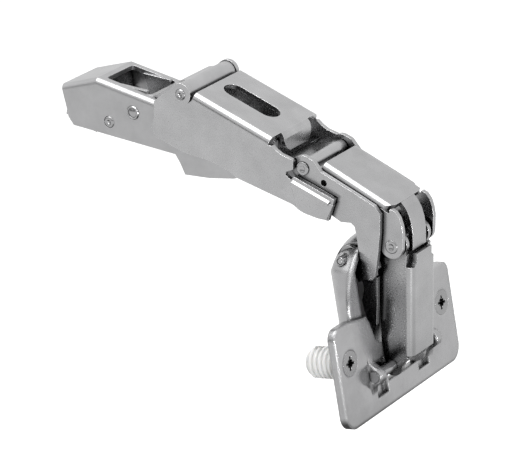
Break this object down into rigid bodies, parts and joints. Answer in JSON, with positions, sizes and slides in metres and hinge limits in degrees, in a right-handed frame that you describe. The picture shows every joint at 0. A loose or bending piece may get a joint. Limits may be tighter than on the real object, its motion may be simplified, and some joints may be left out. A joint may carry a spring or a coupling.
{
  "type": "concealed cup hinge",
  "caption": "Wide-angle concealed cabinet hinge with a press-in cup, a two-part clip-on arm and crossed levers, shown with the door fully open.",
  "frame": {"origin": "on the door's inner face, midway between the two dowels", "axes": "+X out of the door's face along the flange's normal, +Y along the pivot pins, +Z along the flange towards the cup and the door's hinge edge"},
  "size_m": [0.0966, 0.0556, 0.0846],
  "materials": {
    "pressed_steel": "nickel-plated pressed sheet, satin bright",
    "cup_steel": "nickel-plated deep-drawn sheet, satin bright",
    "rivet_steel": "nickel-plated pins and rivets, polished",
    "screw_steel": "nickel-plated screws, bright",
    "spring_steel": "dark spring steel, satin",
    "dowel_plastic": "white moulded plastic"
  },
  "bodies": {
    "rear": {"rear_arm": "pressed_steel", "clip_frame": "pressed_steel", "clip_frame_rivet": "rivet_steel", "clip_lever_pin": "rivet_steel", "clip_spring": "spring_steel", "depth_cam": "screw_steel", "side_screw": "screw_steel", "ear_pin": "rivet_steel"},
    "clip": {"clip_lever": "pressed_steel"},
    "front": {"front_arm": "pressed_steel", "pivot_bracket": "pressed_steel", "link_pin": "rivet_steel"},
    "outer_levers": {"outer_lever_near": "pressed_steel", "outer_lever_far": "pressed_steel", "lever_pin": "rivet_steel", "cross_pin": "rivet_steel", "tip_studs": "rivet_steel"},
    "top_link": {"top_link": "pressed_steel", "elbow_pin": "rivet_steel"},
    "inner_lever": {"inner_lever": "pressed_steel"},
    "cup": {"cup": "cup_steel", "cup_pin": "rivet_steel", "cup_link_pin": "rivet_steel", "cup_spring": "spring_steel", "dowel_near": "dowel_plastic", "dowel_far": "dowel_plastic", "screw_near": "screw_steel", "screw_far": "screw_steel"},
    "cup_link": {"cup_link": "pressed_steel"}
  },
  "joints": [
    {"name": "side_adjust", "type": "hinge", "parent": "rear", "child": "front", "pos_m": [-0.04318, 0, 0.06475], "axis": [0, -1, 0], "range_deg": [-1.5, 1.5]},
    {"name": "clip_release", "type": "hinge", "parent": "rear", "child": "clip", "pos_m": [-0.06866, 0, 0.05678], "axis": [0, -1, 0], "range_deg": [0, 20]},
    {"name": "door_swing", "type": "hinge", "parent": "front", "child": "top_link", "pos_m": [-0.00588, 0, 0.04237], "axis": [0, -1, 0], "range_deg": [0, 114]},
    {"name": "outer_swing", "type": "hinge", "parent": "front", "child": "outer_levers", "pos_m": [-0.01139, 0, 0.04549], "axis": [0, -1, 0], "range_deg": [0, 79]},
    {"name": "elbow_swing", "type": "hinge", "parent": "top_link", "child": "inner_lever", "pos_m": [0.00953, 0, 0.02523], "axis": [0, -1, 0], "range_deg": [0, 33]},
    {"name": "cup_swing", "type": "hinge", "parent": "inner_lever", "child": "cup", "pos_m": [0.0031, 0, -0.00635], "axis": [0, -1, 0], "range_deg": [0, 19]},
    {"name": "cup_link_swing", "type": "hinge", "parent": "cup", "child": "cup_link", "pos_m": [-0.0031, 0, 0.0226], "axis": [0, -1, 0], "range_deg": [0, 63]}
  ],
  "couplings": [
    {"joint": "outer_swing", "follows": "door_swing", "ratio": 0.69298},
    {"joint": "elbow_swing", "follows": "door_swing", "ratio": 0.28947},
    {"joint": "cup_swing", "follows": "door_swing", "ratio": 0.16667},
    {"joint": "cup_link_swing", "follows": "door_swing", "ratio": 0.55263}
  ]
}
